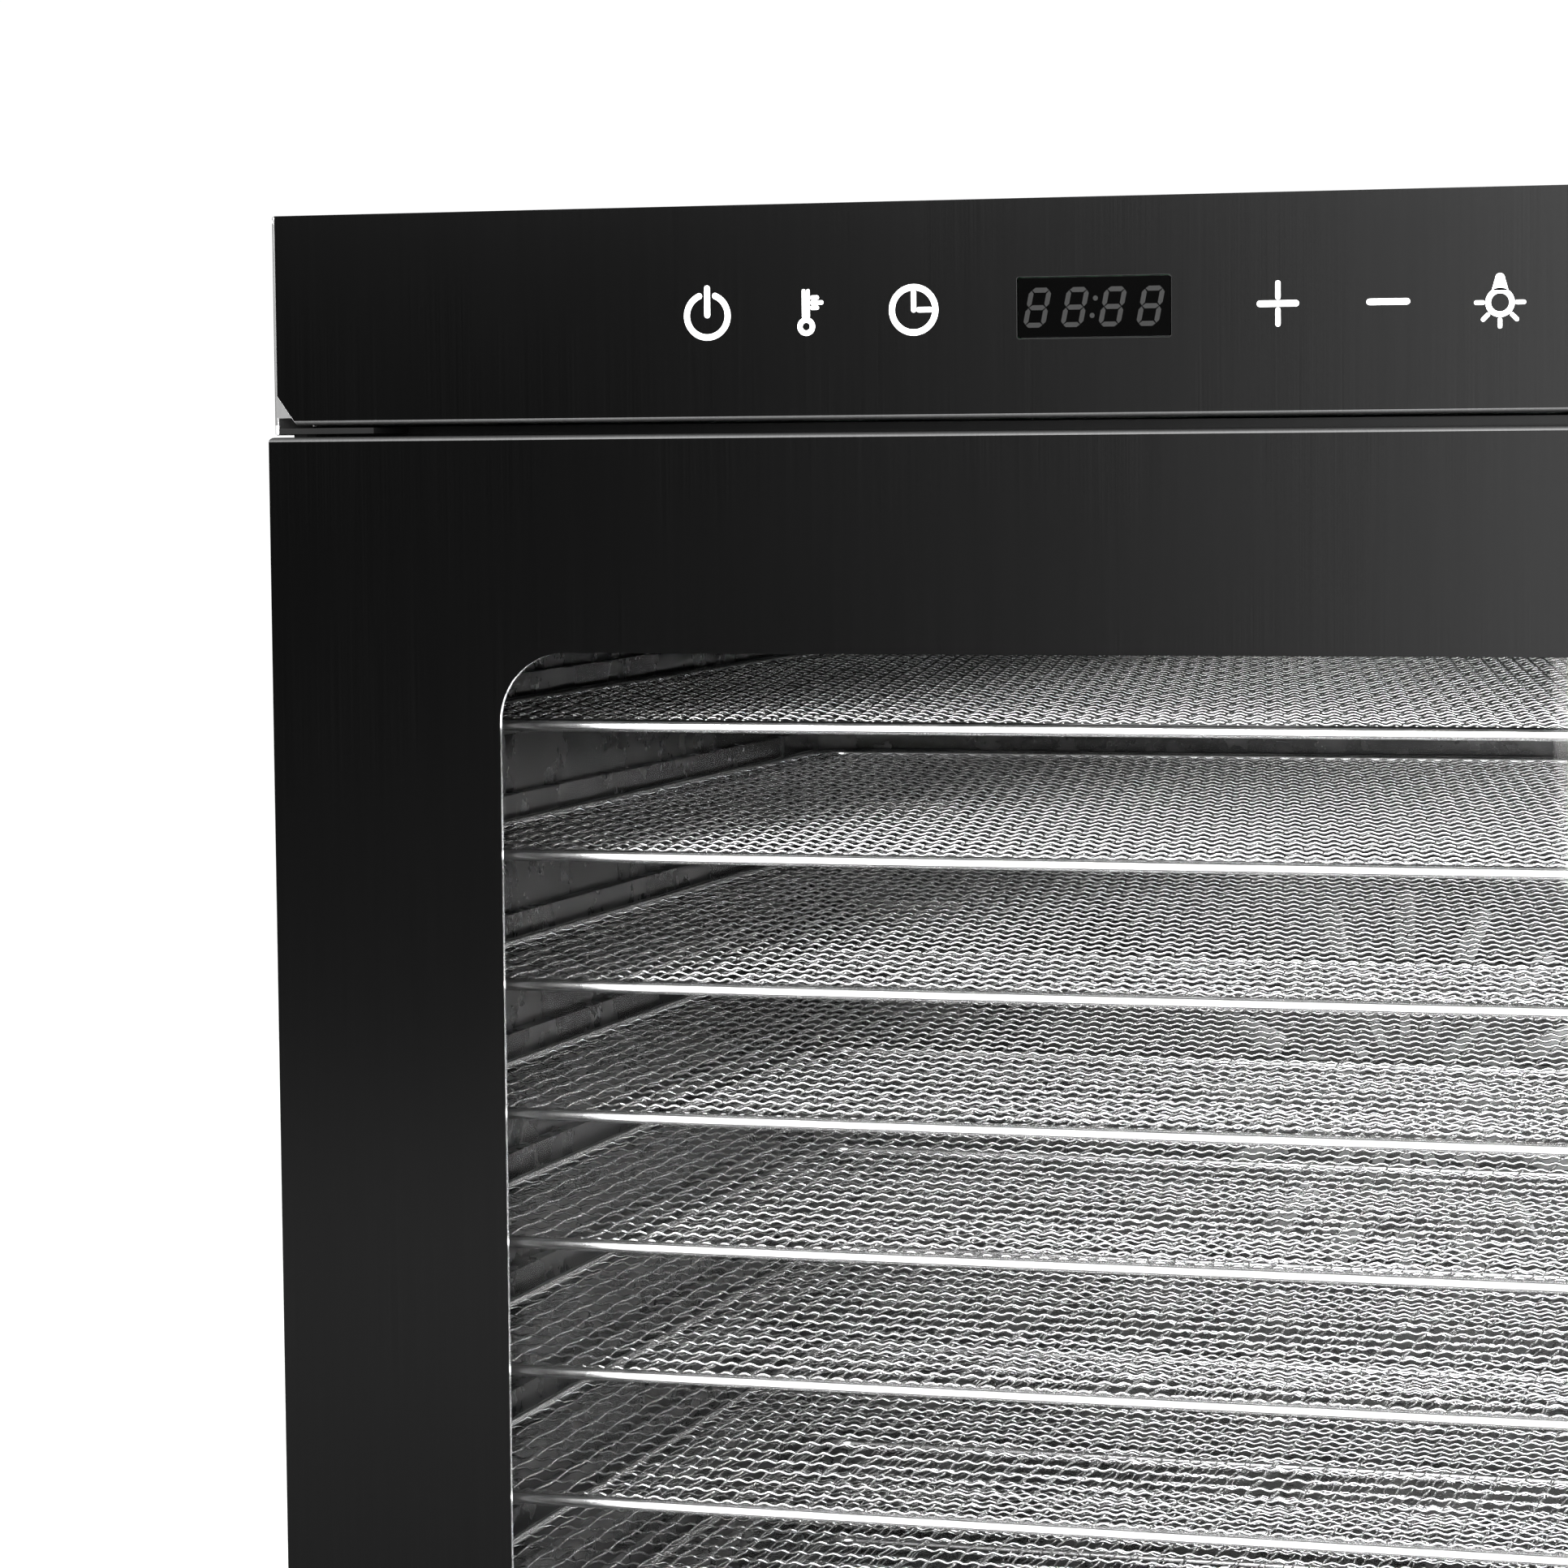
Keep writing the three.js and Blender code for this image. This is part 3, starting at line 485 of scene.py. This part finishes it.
def round_fascia():
    low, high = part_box("control_fascia")
    fascia = nodes["control_fascia"]
    merge_flat(fascia)
    fold_edges(fascia, "lower_fold", FASCIA_FOLD, lambda co: (
        near(co.y, low.y) and near(co.z, low.z)), FOLD_MATERIAL)
    round_edges(fascia, FASCIA_EDGE, EDGE_SEGMENTS, EDGE_MATERIAL)


def dress_nodes():
    bare_nodes()
    upright = stainless("upright_brushed_stainless", ACROSS_X)
    black = black_steel()
    fold = rubbed_fold()
    # The front frame gets the black steel as painted shade: it stands in for the shade in the gap above
    # the door.
    paint(black, "control_fascia", "front_frame")
    paint(door_steel(), "door_outer_frame")
    paint(fold, "control_fascia", "door_outer_frame")
    paint(fascia_edge(), "control_fascia")
    paint(side_steel(), "left_side_panel", "right_side_panel")
    paint(upright, "rear_panel", "door_inner_panel")
    paint(stainless("top_brushed_stainless", ALONG_X, "Y"), "top_cover")
    paint(liner_steel(), "left_runner_panel", "right_runner_panel", "liner_floor", "liner_ceiling",
          "rear_baffle", "drip_tray", "temperature_probe", "motor_shaft")
    paint(galvanised(), "base_pan", "motor_plate")
    paint(spun_aluminium(), "fan_impeller")
    paint(black_rubber(), "front_left_foot", "front_right_foot", "rear_left_foot", "rear_right_foot")
    paint(black_plastic(), "power_inlet", "display_module")
    paint(silicone(), "door_gasket")
    paint(dark_coating(), "fan_motor", "glass_retainer", "catch_magnet")
    # The hinge brackets are near-black as painted shade for the gap they sit in.
    paint(black_zinc_and_painted_shade(), "lower_hinge_bracket", "upper_hinge_bracket")
    paint(heater_sheath(), "heating_element")
    paint(circuit_board(), "touch_board", "power_board", "lamp_board")
    paint(frosted_lens(), "lamp_lens")
    paint(smoked_lens(), "display_window")
    paint(clear_glass(), "door_glass")
    round_door_folds()
    round_fascia()
    for name in ("top_cover", "left_side_panel", "right_side_panel", "front_frame", "rear_panel",
                 "power_inlet"):
        merge_flat(nodes[name])
        round_edges(nodes[name], PANEL_EDGE, EDGE_SEGMENTS)
    group = shading_group()
    for node in nodes.values():
        shade(node, group)


# ---------------------------------------------------------------- mesh helpers
def new_piece(name, mesh, material, body):
    piece = bpy.data.objects.new(name, mesh)
    bpy.context.scene.collection.objects.link(piece)
    mesh.materials.append(material)
    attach(piece, body)
    return piece


def tube_mesh(name, paths, radius, sides, normal, closed=False):
    """Round bars of one radius, one along each path. The paths bend mostly about the normal."""
    vertices = []
    faces = []
    for path in paths:
        first = len(vertices)
        count = len(path)
        for i, point in enumerate(path):
            before = path[i - 1] if closed or i else point
            after = path[(i + 1) % count] if closed or i + 1 < count else point
            along = (after - before).normalized()
            level = along.cross(normal).normalized()
            upright = level.cross(along)
            for k in range(sides):
                angle = 2 * math.pi * k / sides
                vertices.append(point + radius * (math.cos(angle) * level + math.sin(angle) * upright))
        for i in range(count if closed else count - 1):
            here = first + i * sides
            there = first + (i + 1) % count * sides
            for k in range(sides):
                side = (k + 1) % sides
                faces.append((here + k, here + side, there + side, there + k))
        if not closed:
            faces.append(tuple(first + k for k in range(sides - 1, -1, -1)))
            faces.append(tuple(first + (count - 1) * sides + k for k in range(sides)))
    mesh = bpy.data.meshes.new(name)
    mesh.from_pydata(vertices, [], faces)
    mesh.shade_smooth()
    return mesh


def prism(name, points, faces, front, back):
    """A flat shape in (x, z), drawn as faces over points, given thickness from front to back."""
    count = len(points)
    vertices = [(x, front, z) for x, z in points] + [(x, back, z) for x, z in points]
    solid = list(faces) + [tuple(count + i for i in reversed(face)) for face in faces]
    sides = {(a, b) for face in faces for a, b in zip(face, face[1:] + face[:1])}
    solid += [(b, a, count + a, count + b) for a, b in sides if (b, a) not in sides]
    mesh = bpy.data.meshes.new(name)
    mesh.from_pydata(vertices, [], solid)
    return mesh


# ---------------------------------------------------------------- printed symbols and digits
class Drawing:
    """A flat drawing in (x, z) about its own middle, in millimetres."""

    def __init__(self):
        self.points = {}  # (x, z) and its place in the list of points
        self.faces = []

    def polygon(self, outline):
        """Adds a face, which shares any corner it has in common with an earlier face."""
        corners = [(round(x, 5), round(z, 5)) for x, z in outline]
        self.faces.append(tuple(self.points.setdefault(c, len(self.points)) for c in corners))

    def arc(self, middle, radius, start, end, steps=16):
        angles = [math.radians(start + (end - start) * i / steps) for i in range(steps + 1)]
        return [(middle[0] + radius * math.cos(a), middle[1] + radius * math.sin(a)) for a in angles]

    def ring(self, middle, radius, width, start=0.0, end=360.0, steps=48):
        """A band along an arc, its ends rounded if it is open."""
        outer = self.arc(middle, radius + width / 2, start, end, steps)
        inner = self.arc(middle, radius - width / 2, start, end, steps)
        for i in range(steps):
            self.polygon([inner[i], outer[i], outer[i + 1], inner[i + 1]])
        if end - start < 360:
            for angle, turn in ((start, -180), (end, 0)):
                tip = self.arc(middle, radius, angle, angle, 1)[0]
                self.polygon(self.arc(tip, width / 2, angle + turn, angle + turn + 180))

    def bar(self, start, end, width):
        """A straight stroke with round ends."""
        heading = math.degrees(math.atan2(end[1] - start[1], end[0] - start[0]))
        self.polygon(self.arc(start, width / 2, heading + 90, heading + 270, 8)
                     + self.arc(end, width / 2, heading - 90, heading + 90, 8))

    def place(self, name, at, front, back):
        """The drawing as a thin solid with its middle at (x, z)."""
        points = [(at[0] + x * MM, at[1] + z * MM) for x, z in self.points]
        return prism(name, points, self.faces, front, back)


STROKE = 1.45  # millimetres, as the drawings below are


def power_drawing():
    drawing = Drawing()
    drawing.ring((0.0, -0.6), 5.1, STROKE, -247.0, 67.0)
    drawing.bar((0.0, -0.4), (0.0, 5.9), STROKE)
    return drawing


def thermometer_drawing():
    drawing = Drawing()
    drawing.ring((-0.9, -3.5), 1.55, 1.25)
    drawing.bar((-1.5, -1.1), (-1.5, 4.9), 0.85)
    drawing.bar((-0.4, -1.1), (-0.4, 4.9), 0.85)
    for height, length in ((3.3, 1.2), (2.1, 2.3), (0.9, 1.2)):
        drawing.bar((0.6, height), (0.6 + length, height), 1.0)
    return drawing


def clock_drawing():
    drawing = Drawing()
    drawing.ring((0.0, 0.0), 5.3, STROKE)
    drawing.bar((0.0, 0.0), (0.0, 4.0), 1.25)
    drawing.bar((1.3, 0.0), (4.0, 0.0), 1.25)
    return drawing


def plus_drawing():
    drawing = Drawing()
    drawing.bar((-4.2, 0.0), (4.2, 0.0), STROKE)
    drawing.bar((0.0, 1.5), (0.0, 4.7), 1.2)
    drawing.bar((0.0, -1.5), (0.0, -4.7), 1.2)
    return drawing


def minus_drawing():
    drawing = Drawing()
    drawing.bar((-4.3, 0.0), (4.3, 0.0), STROKE)
    return drawing


def lamp_drawing():
    """A bulb pointing up: a ring with a tip, and rays to the sides and below."""
    drawing = Drawing()
    drawing.ring((0.0, -0.6), 2.7, 1.25)
    drawing.polygon(drawing.arc((0.0, 4.9), 1.1, 0, 180, 10) + [(-1.9, 2.1), (1.9, 2.1)])
    for heading in (0, -45, -90, -135, -180):
        near_end = drawing.arc((0.0, -0.6), 3.9, heading, heading, 1)[0]
        far_end = drawing.arc((0.0, -0.6), 5.4, heading, heading, 1)[0]
        drawing.bar(near_end, far_end, 1.0)
    return drawing


FIRST_SYMBOL = 43.4  # millimetres from the display's middle to the nearest symbol's
SYMBOL_PITCH = 25.5
SYMBOLS = (  # name, drawing, distance right of the display's middle in millimetres
    ("power_symbol", power_drawing, -FIRST_SYMBOL - 2 * SYMBOL_PITCH),
    ("thermometer_symbol", thermometer_drawing, -FIRST_SYMBOL - SYMBOL_PITCH),
    ("clock_symbol", clock_drawing, -FIRST_SYMBOL),
    ("plus_symbol", plus_drawing, FIRST_SYMBOL),
    ("minus_symbol", minus_drawing, FIRST_SYMBOL + SYMBOL_PITCH),
    ("lamp_symbol", lamp_drawing, FIRST_SYMBOL + 2 * SYMBOL_PITCH),
)
PRINT_RAISED = 0.05 * MM  # the print stands this far out of its face
PRINT_SUNK = 0.02 * MM  # and reaches this far into it
DIGIT_HEIGHT = 8.1
DIGIT_WIDTH = 4.2
DIGIT_PITCH = 9.0
DIGIT_SLANT = 0.2
SEGMENT = 1.15
SEGMENT_GAP = 0.12  # left at each end of a segment
COLON_REACH = 2.0  # a dot's middle above or below the digits'
DOT_RADIUS = 0.6
DOT_SIDES = 24


def segment(drawing, start, end):
    """One bar of a digit, pointed at both ends."""
    along = Vector((end[0] - start[0], end[1] - start[1])).normalized()
    across = Vector((-along.y, along.x)) * SEGMENT / 2
    inset = along * (SEGMENT / 2 + SEGMENT_GAP)
    start = Vector(start) + along * SEGMENT_GAP
    end = Vector(end) - along * SEGMENT_GAP
    outline = [start, start + inset - across, end - inset - across, end,
               end - inset + across, start + inset + across]
    drawing.polygon([(p.x + DIGIT_SLANT * p.y, p.y) for p in outline])


def clock_digits_drawing():
    """Four unlit seven-bar digits with a colon in the middle."""
    drawing = Drawing()
    for i in range(4):
        x0 = (i - 1.5) * DIGIT_PITCH - DIGIT_WIDTH / 2
        x1 = x0 + DIGIT_WIDTH
        top = DIGIT_HEIGHT / 2
        for z in (top, 0.0, -top):
            segment(drawing, (x0, z), (x1, z))
        for x in (x0, x1):
            segment(drawing, (x, 0.0), (x, top))
            segment(drawing, (x, -top), (x, 0.0))
    last_corner = 360 - 360 / DOT_SIDES
    for z in (COLON_REACH, -COLON_REACH):
        drawing.polygon(drawing.arc((DIGIT_SLANT * z, z), DOT_RADIUS, 0, last_corner, DOT_SIDES - 1))
    return drawing


def add_symbols():
    low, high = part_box("control_fascia")
    window_low, window_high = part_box("display_window")
    middle = (window_low + window_high) / 2
    ink = printed_white()
    for name, draw, right in SYMBOLS:
        at = (middle.x + right * MM, middle.z)
        mesh = draw().place(name, at, low.y - PRINT_RAISED, low.y + PRINT_SUNK)
        new_piece(name, mesh, ink, "cabinet")
    digits = clock_digits_drawing().place(
        "clock_digits", (middle.x, middle.z), window_low.y - PRINT_RAISED, window_low.y + PRINT_SUNK)
    new_piece("clock_digits", digits, unlit_segment(), "cabinet")


# ---------------------------------------------------------------- handle
HANDLE_BEND = 12 * MM
BEND_STEPS = 12
HANDLE_SIDES = 28


def add_handle():
    low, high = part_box("door_handle")
    radius = (high.x - low.x) / 2
    x = (low.x + high.x) / 2
    front = low.y + radius
    path = [Vector((x, high.y, low.z + radius))]
    for centre_z, first in ((low.z + radius + HANDLE_BEND, -90), (high.z - radius - HANDLE_BEND, 180)):
        for i in range(BEND_STEPS + 1):
            angle = math.radians(first - 90 * i / BEND_STEPS)
            y = front + HANDLE_BEND + HANDLE_BEND * math.cos(angle)
            path.append(Vector((x, y, centre_z + HANDLE_BEND * math.sin(angle))))
    path.append(Vector((x, high.y, high.z - radius)))
    mesh = tube_mesh("polished_door_handle", [path], radius, HANDLE_SIDES, Vector((1.0, 0.0, 0.0)))
    material = brushed_metal("polished_handle_steel", dark=0.62, light=0.72, roughness=0.16,
                             grain=ACROSS_Z, anisotropy=0.3, tangent_axis="Z")
    handle = new_piece("polished_door_handle", mesh, material, "door")
    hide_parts("door_handle")


# ---------------------------------------------------------------- trays
ROD_RADIUS = 1.6 * MM
RING_CORNER = 10.4 * MM  # corner radius along the middle of the rod
CROSS_WIRE_RADIUS = 0.42 * MM
DEPTH_WIRE_RADIUS = 0.26 * MM
WIRE_SWING = 0.36 * MM  # how far a crimped wire leaves the middle plane
DEPTH_WIRE_PITCH = 7.27 * MM
CROSS_WIRE_PITCH = 12.0 * MM
CROSS_WAVES_PER_PITCH = 1.5  # an intercrimped wire waves between its crossings too
DEPTH_WAVES_PER_PITCH = 0.5
STEPS_PER_WAVE = 5
ROD_SIDES = 20
WIRE_SIDES = 5


def ring_path(half_width, half_depth, corner, steps=10):
    """A closed rectangle with round corners, anticlockwise from the front right corner."""
    points = []
    for quarter, (x_sign, y_sign) in enumerate([(1, -1), (1, 1), (-1, 1), (-1, -1)]):
        middle = Vector((x_sign * (half_width - corner), y_sign * (half_depth - corner), 0.0))
        for i in range(steps + 1):
            angle = math.pi / 2 * (quarter - 1 + i / steps)
            points.append(middle + corner * Vector((math.cos(angle), math.sin(angle), 0.0)))
    return points


def reach_at(offset, half_length, half_span, corner):
    """How far a wire runs each way before it meets the ring, offset from the ring's middle."""
    into_corner = abs(offset) - (half_span - corner)
    if into_corner <= 0:
        return half_length
    return half_length - corner + math.sqrt(max(corner**2 - into_corner**2, 0.0))


def places_between(half_span, pitch):
    """Wire places across a span, evenly about its middle."""
    count = int(2 * half_span / pitch)
    return [(i - (count - 1) / 2) * pitch for i in range(count)]


def crimped(reach, wave, first_crossing, phase):
    """(place along the wire, height) pairs for one crimped wire."""
    step = wave / STEPS_PER_WAVE
    first = math.ceil((-reach - first_crossing) / step)
    last = math.floor((reach - first_crossing) / step)
    places = [first_crossing + i * step for i in range(first, last + 1)]
    return [(p, phase * WIRE_SWING * math.cos(2 * math.pi * (p - first_crossing) / wave)) for p in places]


def crimped_wires(lanes, half_length, half_span, crossings, wave):
    """For each lane across the tray, its offset and its wire's (place, height) pairs."""
    for number, offset in enumerate(lanes):
        reach = reach_at(offset, half_length, half_span, RING_CORNER)
        yield offset, crimped(reach, wave, crossings[0], 1 if number % 2 else -1)


def woven_mesh(half_width, half_depth):
    rows = places_between(half_depth, CROSS_WIRE_PITCH)
    columns = places_between(half_width, DEPTH_WIRE_PITCH)
    cross_wave = DEPTH_WIRE_PITCH / CROSS_WAVES_PER_PITCH
    depth_wave = CROSS_WIRE_PITCH / DEPTH_WAVES_PER_PITCH
    cross_wires = [
        [Vector((x, y, z)) for x, z in line]
        for y, line in crimped_wires(rows, half_width, half_depth, columns, cross_wave)]
    depth_wires = [
        [Vector((x, y, -z)) for y, z in line]
        for x, line in crimped_wires(columns, half_depth, half_width, rows, depth_wave)]
    weave = bmesh.new()
    weave.from_mesh(tube_mesh("cross_wires", cross_wires, CROSS_WIRE_RADIUS, WIRE_SIDES, UP))
    weave.from_mesh(tube_mesh("depth_wires", depth_wires, DEPTH_WIRE_RADIUS, WIRE_SIDES, UP))
    mesh = bpy.data.meshes.new("woven_wire")
    weave.to_mesh(mesh)
    weave.free()
    return mesh


def add_trays():
    low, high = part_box("tray_01_frame")
    half_width = (high.x - low.x) / 2 - ROD_RADIUS
    half_depth = (high.y - low.y) / 2 - ROD_RADIUS
    ring = tube_mesh("tray_rod", [ring_path(half_width, half_depth, RING_CORNER)], ROD_RADIUS,
                     ROD_SIDES, UP, closed=True)
    weave = woven_mesh(half_width, half_depth)
    rod_steel = chrome()
    wire_steel = woven_steel()
    for i in range(1, TRAY_COUNT + 1):
        label = f"tray_{i:02d}"
        low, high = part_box(f"{label}_frame")
        for part, mesh, material, slot in (
                ("frame", ring, rod_steel, "chrome_wire"), ("mesh", weave, wire_steel, "woven_wire")):
            piece = bpy.data.objects.new(f"{label}_fine_{part}", mesh)
            piece.location = (low + high) / 2
            bpy.context.scene.collection.objects.link(piece)
            if not mesh.materials:
                mesh.materials.append(material)
            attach(piece, label)
            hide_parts(f"{label}_{part}")


# ---------------------------------------------------------------- stage, light and camera
WORLD_STRENGTH = 1.05
FLAG = (("X", -0.20, 0.05), ("Y", -0.7, -0.5), ("Z", 0.08, 0.16))  # axis, fully dark, fully light
FLAG_STRENGTH = 0.05
FLOOR_RADIUS = 6.0
FLOOR_SIDES = 96
CAMERA_PLACE = (0.262, -1.326, 0.459)
CAMERA_AZIMUTH = math.radians(17.3)
CAMERA_ELEVATION = math.radians(4.2)
CAMERA_ROLL = math.radians(-0.55)
CAMERA_LENS = 109.8  # millimetres, as the sensor's width is
CAMERA_SENSOR = 36.0


def light_world():
    """White all round, but mirror reflections see a dark flag low down at the front left."""
    world = bpy.data.worlds.new("studio")
    bpy.context.scene.world = world
    world.use_nodes = True
    tree = world.node_tree
    background = tree.nodes["Background"]
    way = add(tree, "ShaderNodeTexCoord").outputs["Generated"]
    split = add(tree, "ShaderNodeSeparateXYZ", {"Vector": way}).outputs
    clear = None
    for axis, flagged, unflagged in FLAG:
        share = add(tree, "ShaderNodeMapRange", {
            "Value": split[axis], "From Min": flagged, "From Max": unflagged, "To Min": 0.0,
            "To Max": 1.0}, interpolation_type="SMOOTHSTEP").outputs["Result"]
        clear = share if clear is None else add(
            tree, "ShaderNodeMath", {0: clear, 1: share}, operation="MAXIMUM").outputs[0]
    mirrored = add(tree, "ShaderNodeMapRange", {"Value": clear, "To Min": FLAG_STRENGTH, "To Max": 1.0})
    glossy = add(tree, "ShaderNodeLightPath").outputs["Is Glossy Ray"]
    strength = add(tree, "ShaderNodeMapRange", {
        "Value": glossy, "To Min": WORLD_STRENGTH, "To Max": mirrored.outputs["Result"]}).outputs["Result"]
    tree.links.new(strength, background.inputs["Strength"])
    background.inputs["Color"].default_value = grey(1.0)


def softbox(name, place, aim, size, power):
    light = bpy.data.lights.new(name, "AREA")
    light.shape = "RECTANGLE"
    light.size, light.size_y = size
    light.energy = power
    lamp = bpy.data.objects.new(name, light)
    lamp.location = place
    lamp.rotation_euler = (Vector(aim) - Vector(place)).to_track_quat("-Z", "Y").to_euler()
    lamp.visible_camera = False
    bpy.context.scene.collection.objects.link(lamp)


def add_floor():
    bm = bmesh.new()
    bmesh.ops.create_circle(bm, cap_ends=True, segments=FLOOR_SIDES, radius=FLOOR_RADIUS)
    mesh = bpy.data.meshes.new("studio_floor")
    bm.to_mesh(mesh)
    bm.free()
    mesh.materials.append(pale_floor())
    floor = bpy.data.objects.new("studio_floor", mesh)
    bpy.context.scene.collection.objects.link(floor)


def place_camera():
    """The camera stands to the right of the door and looks at its upper left part."""
    data = bpy.data.cameras.new("camera")
    data.lens = CAMERA_LENS
    data.sensor_width = CAMERA_SENSOR
    camera = bpy.data.objects.new("camera", data)
    tilt = Matrix.Rotation(math.pi / 2 - CAMERA_ELEVATION, 4, "X")
    turn = Matrix.Rotation(CAMERA_AZIMUTH, 4, "Z") @ tilt
    camera.matrix_world = (
        Matrix.Translation(CAMERA_PLACE) @ turn @ Matrix.Rotation(CAMERA_ROLL, 4, "Z"))
    bpy.context.scene.collection.objects.link(camera)
    bpy.context.scene.camera = camera


def set_colour():
    bpy.context.scene.view_settings.view_transform = "Standard"


dress_nodes()
add_symbols()
add_handle()
add_trays()
light_world()
softbox("right_softbox", place=(0.38, -2.6, 0.75), aim=(0.0, 0.0, 0.4), size=(1.3, 1.3), power=125.0)
softbox("left_softbox", place=(-0.5, -2.2, 1.2), aim=(0.0, 0.0, 0.3), size=(0.9, 1.0), power=62.0)
add_floor()
place_camera()
set_colour()
